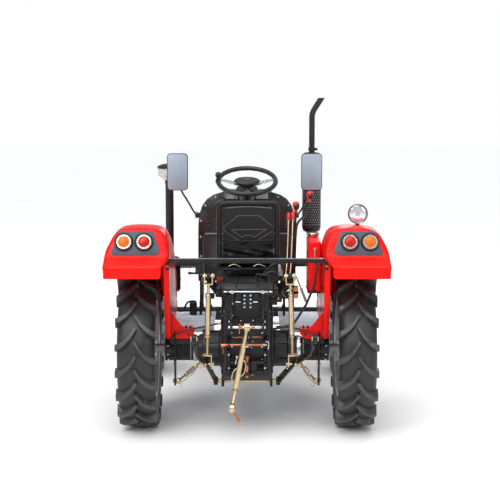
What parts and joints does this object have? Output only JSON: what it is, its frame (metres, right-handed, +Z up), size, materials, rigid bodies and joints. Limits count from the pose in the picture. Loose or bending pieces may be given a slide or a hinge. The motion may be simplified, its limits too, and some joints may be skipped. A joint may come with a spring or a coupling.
{
  "type": "farm tractor",
  "caption": "Compact open-station farm tractor with raised three-point hitch, red fenders with rear lamps, upright exhaust and hinged bonnet.",
  "frame": {"origin": "on the ground under the middle of the whole tractor", "axes": "+X the tractor's right, +Y forward, +Z up"},
  "size_m": [1.8, 2.9119, 2.13],
  "materials": {
    "red_paint": "gloss red enamel",
    "cast_grey": "dark painted casting",
    "frame_black": "black chassis paint",
    "slate_plastic": "slate grey moulding",
    "black_plastic": "matt black moulding",
    "lens_plastic": "clear coloured lens",
    "seat_vinyl": "dark moulded vinyl",
    "step_plate": "worn chequer plate",
    "cowl_plastic": "textured dark moulding",
    "exhaust_black": "heat-worn black paint",
    "clear_bowl": "clear moulded bowl",
    "zinc_rod": "yellow passivated zinc",
    "red_plastic": "gloss red grip",
    "hose_rubber": "smooth black hose",
    "bright_rod": "polished rod",
    "tyre": "dark tyre rubber",
    "rim_paint": "silver wheel paint",
    "clear_lamp": "clear lamp glass"
  },
  "bodies": {
    "chassis": {"air_cleaner": "black_plastic", "axle_housings": "cast_grey", "clutch_housing": "cast_grey", "cowl": "cowl_plastic", "cross_bar": "frame_black", "engine_block": "cast_grey", "exhaust_stack": "exhaust_black", "fender_left": "red_paint", "fender_right": "red_paint", "foot_plates": "step_plate", "front_axle": "frame_black", "front_bracket": "frame_black", "fuel_tank": "red_paint", "gearbox": "cast_grey", "hitch_frame": "frame_black", "hydraulic_hoses": "hose_rubber", "inner_plates": "red_paint", "lamp_housings": "black_plastic", "lamp_lenses": "lens_plastic", "lamp_panels": "slate_plastic", "lever_knobs": "red_plastic", "levers": "zinc_rod", "lift_cover": "cast_grey", "link_brackets": "frame_black", "mirrors": "black_plastic", "muffler": "exhaust_black", "pedals": "frame_black", "precleaner_bowl": "clear_bowl", "radiator": "frame_black", "seat_back": "seat_vinyl", "seat_base": "frame_black", "seat_cushion": "seat_vinyl", "seat_frame": "black_plastic", "top_link_bracket": "frame_black", "work_lamp": "black_plastic"},
    "rear_wheel_left": {"rear_tyre_left": "tyre", "rear_rim_left": "rim_paint"},
    "rear_wheel_right": {"rear_tyre_right": "tyre", "rear_rim_right": "rim_paint"},
    "front_wheel_left": {"front_tyre_left": "tyre", "front_rim_left": "rim_paint"},
    "front_wheel_right": {"front_tyre_right": "tyre", "front_rim_right": "rim_paint"},
    "knuckle_left": {"knuckle_left": "frame_black"},
    "knuckle_right": {"knuckle_right": "frame_black"},
    "tie_rod": {"tie_rod": "frame_black"},
    "steering_rod": {"steering_rod": "bright_rod"},
    "steering_wheel": {"steering_wheel": "black_plastic"},
    "lift_arms": {"lift_arms": "frame_black"},
    "lift_rod_left": {"lift_rod_left": "zinc_rod"},
    "lift_rod_right": {"lift_rod_right": "zinc_rod"},
    "lower_link_left": {"lower_link_left": "frame_black", "stabiliser_left": "zinc_rod"},
    "lower_link_right": {"lower_link_right": "frame_black", "stabiliser_right": "zinc_rod"},
    "top_link": {"top_link": "zinc_rod"},
    "bonnet": {"bonnet": "red_paint", "grille": "black_plastic", "headlamps": "clear_lamp"}
  },
  "joints": [
    {"name": "rear_wheel_left_spin", "type": "hinge", "parent": "chassis", "child": "rear_wheel_left", "pos_m": [-0.705, -0.674, 0.515], "axis": [1, 0, 0], "continuous": true},
    {"name": "rear_wheel_right_spin", "type": "hinge", "parent": "chassis", "child": "rear_wheel_right", "pos_m": [0.705, -0.674, 0.515], "axis": [1, 0, 0], "continuous": true},
    {"name": "steer_left", "type": "hinge", "parent": "chassis", "child": "knuckle_left", "pos_m": [-0.575, 0.976, 0.47], "axis": [0, 0, 1], "range_deg": [-40, 40]},
    {"name": "steer_right", "type": "hinge", "parent": "chassis", "child": "knuckle_right", "pos_m": [0.575, 0.976, 0.47], "axis": [0, 0, 1], "range_deg": [-40, 40]},
    {"name": "tie_rod_pivot", "type": "hinge", "parent": "knuckle_left", "child": "tie_rod", "pos_m": [-0.575, 0.836, 0.398], "axis": [0, 0, 1], "range_deg": [-40, 40]},
    {"name": "steering_rod_slide", "type": "slide", "parent": "chassis", "child": "steering_rod", "axis": [1, 0, 0], "range_m": [-0.0775, 0.0775]},
    {"name": "steering_wheel_turn", "type": "hinge", "parent": "chassis", "child": "steering_wheel", "pos_m": [0, -0.024, 1.568], "axis": [0, -0.3746, 0.9272], "range_deg": [-480, 480]},
    {"name": "front_wheel_left_spin", "type": "hinge", "parent": "knuckle_left", "child": "front_wheel_left", "pos_m": [-0.73, 0.976, 0.3675], "axis": [1, 0, 0], "continuous": true},
    {"name": "front_wheel_right_spin", "type": "hinge", "parent": "knuckle_right", "child": "front_wheel_right", "pos_m": [0.73, 0.976, 0.3675], "axis": [1, 0, 0], "continuous": true},
    {"name": "lift_arms_swing", "type": "hinge", "parent": "chassis", "child": "lift_arms", "pos_m": [0, -0.924, 0.945], "axis": [1, 0, 0], "range_deg": [0, 50]},
    {"name": "lower_link_left_swing", "type": "hinge", "parent": "chassis", "child": "lower_link_left", "pos_m": [-0.205, -0.754, 0.312], "axis": [1, 0, 0], "range_deg": [0, 40]},
    {"name": "lower_link_right_swing", "type": "hinge", "parent": "chassis", "child": "lower_link_right", "pos_m": [0.205, -0.754, 0.312], "axis": [1, 0, 0], "range_deg": [0, 40]},
    {"name": "lift_rod_left_swing", "type": "hinge", "parent": "lift_arms", "child": "lift_rod_left", "pos_m": [-0.24, -1.144, 1.07], "axis": [1, 0, 0], "range_deg": [-52.5, 0]},
    {"name": "lift_rod_right_swing", "type": "hinge", "parent": "lift_arms", "child": "lift_rod_right", "pos_m": [0.268, -1.144, 1.07], "axis": [1, 0, 0], "range_deg": [-52.5, 0]},
    {"name": "top_link_swing", "type": "hinge", "parent": "chassis", "child": "top_link", "pos_m": [0, -1.149, 0.745], "axis": [-1, 0, 0], "range_deg": [0, 95]},
    {"name": "bonnet_open", "type": "hinge", "parent": "chassis", "child": "bonnet", "pos_m": [0, 0.482, 1.434], "axis": [1, 0, 0], "range_deg": [0, 55]}
  ],
  "couplings": [
    {"joint": "steer_right", "follows": "steer_left", "ratio": 1},
    {"joint": "tie_rod_pivot", "follows": "steer_left", "ratio": -1},
    {"joint": "steering_rod_slide", "follows": "steer_left", "m_per_rad": -0.11049},
    {"joint": "steering_wheel_turn", "follows": "steer_left", "ratio": 12},
    {"joint": "lower_link_left_swing", "follows": "lift_arms_swing", "ratio": 0.795},
    {"joint": "lower_link_right_swing", "follows": "lift_arms_swing", "ratio": 0.795},
    {"joint": "lift_rod_left_swing", "follows": "lift_arms_swing", "ratio": -1.0475},
    {"joint": "lift_rod_right_swing", "follows": "lift_arms_swing", "ratio": -1.0475}
  ]
}
